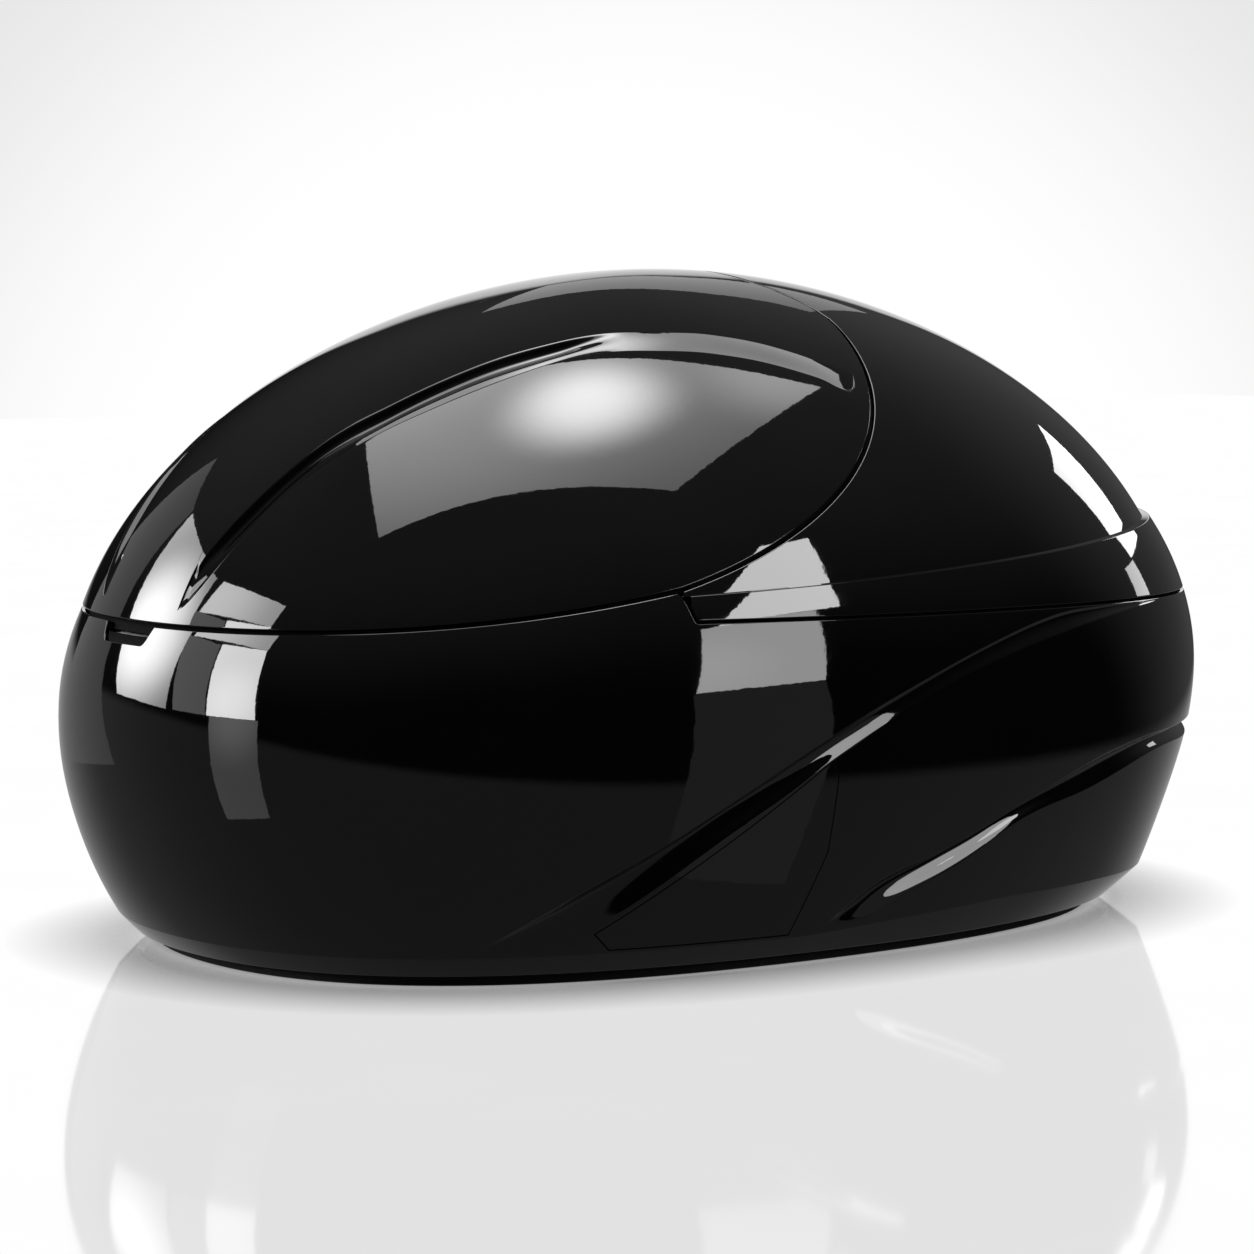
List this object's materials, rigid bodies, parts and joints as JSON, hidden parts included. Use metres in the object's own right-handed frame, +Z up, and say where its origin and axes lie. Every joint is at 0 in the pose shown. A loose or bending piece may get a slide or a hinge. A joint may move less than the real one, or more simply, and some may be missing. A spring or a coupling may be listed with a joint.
{
  "type": "flotation tank",
  "caption": "Oval flotation tank with a nose-opening lid on gas struts, shallow tub, fixed rear hood and glossy black shell.",
  "frame": {"origin": "on the floor, under the middle of the pod's length and width", "axes": "+X towards the closed tail, -X towards the nose where the lid opens, +Y to the left side seen from the tail, +Z up"},
  "size_m": [2.6021, 1.716, 1.3887],
  "materials": {
    "gloss_black": "high-gloss black gelcoat on glass-fibre shell",
    "matt_black": "matt black moulded plinth",
    "liner_white": "satin white gelcoat",
    "frame_steel": "powder-coated grey steel",
    "stainless": "brushed stainless steel",
    "zinc": "zinc-plated steel",
    "foam": "rigid insulating foam board",
    "heater_foil": "silicone heating mat",
    "rubber_black": "black EPDM rubber",
    "lens_clear": "clear polycarbonate lens",
    "fitting_white": "white moulded plastic",
    "strut_black": "black painted steel tube",
    "rod_chrome": "hard-chromed rod",
    "button_blue": "glossy moulded cap",
    "equipment_grey": "grey moulded equipment housing",
    "motor_paint": "painted motor body"
  },
  "bodies": {
    "base": {"base_casing": "gloss_black", "service_panel_left": "gloss_black", "service_panel_right": "gloss_black", "rear_hood": "gloss_black", "plinth_ring": "matt_black", "base_frame": "frame_steel", "levelling_feet": "rubber_black", "tub_liner": "liner_white", "heater_mat": "heater_foil", "tub_insulation": "foam", "rim_seal": "rubber_black", "light_housing_left": "fitting_white", "light_housing_right": "fitting_white", "light_lens_left": "lens_clear", "light_lens_right": "lens_clear", "return_nozzle_left": "fitting_white", "return_nozzle_right": "fitting_white", "suction_cover": "fitting_white", "sound_transducers": "equipment_grey", "hood_liner": "liner_white", "hinge_pin_left": "stainless", "hinge_pin_right": "stainless", "hinge_frame": "frame_steel", "light_bezel": "stainless", "call_bezel": "stainless", "light_switch": "equipment_grey", "call_switch": "equipment_grey", "equipment_tray_left": "zinc", "equipment_tray_right": "zinc", "pump_motor": "motor_paint", "pump_volute": "equipment_grey", "filter_canister": "equipment_grey", "filter_lid": "matt_black", "filter_pipe": "fitting_white", "control_box": "equipment_grey", "uv_lamp_unit": "stainless"},
    "lid": {"lid_skin": "gloss_black", "lid_liner": "liner_white", "lid_handle": "stainless", "hinge_arm_left": "frame_steel", "hinge_arm_right": "frame_steel", "strut_clevis_left": "frame_steel", "strut_clevis_right": "frame_steel"},
    "strut_tube_left": {"strut_tube_left": "strut_black"},
    "strut_rod_left": {"strut_rod_left": "rod_chrome"},
    "strut_tube_right": {"strut_tube_right": "strut_black"},
    "strut_rod_right": {"strut_rod_right": "rod_chrome"},
    "light_button": {"light_button": "button_blue"},
    "call_button": {"call_button": "fitting_white"}
  },
  "joints": [
    {"name": "lid_hinge", "type": "hinge", "parent": "base", "child": "lid", "pos_m": [0.39, 0, 1.262], "axis": [0, 1, 0], "range_deg": [0, 45]},
    {"name": "strut_swing_left", "type": "hinge", "parent": "base", "child": "strut_tube_left", "pos_m": [0.337, 0.47, 0.846], "axis": [0, 1, 0], "range_deg": [0, 24.5]},
    {"name": "strut_slide_left", "type": "slide", "parent": "strut_tube_left", "child": "strut_rod_left", "axis": [-0.8506, 0, 0.5258], "range_m": [0, 0.274]},
    {"name": "strut_swing_right", "type": "hinge", "parent": "base", "child": "strut_tube_right", "pos_m": [0.337, -0.47, 0.846], "axis": [0, 1, 0], "range_deg": [0, 24.5]},
    {"name": "strut_slide_right", "type": "slide", "parent": "strut_tube_right", "child": "strut_rod_right", "axis": [-0.8506, 0, 0.5258], "range_m": [0, 0.274]},
    {"name": "light_button_press", "type": "slide", "parent": "base", "child": "light_button", "axis": [0, 0, -1], "range_m": [0, 0.003], "stiffness_N_per_m": 600},
    {"name": "call_button_press", "type": "slide", "parent": "base", "child": "call_button", "axis": [0, 0, -1], "range_m": [0, 0.003], "stiffness_N_per_m": 600}
  ],
  "couplings": [
    {"joint": "strut_swing_left", "follows": "lid_hinge", "ratio": 0.5323},
    {"joint": "strut_slide_left", "follows": "lid_hinge", "m_per_rad": 0.3435},
    {"joint": "strut_swing_right", "follows": "lid_hinge", "ratio": 0.5323},
    {"joint": "strut_slide_right", "follows": "lid_hinge", "m_per_rad": 0.3435}
  ]
}
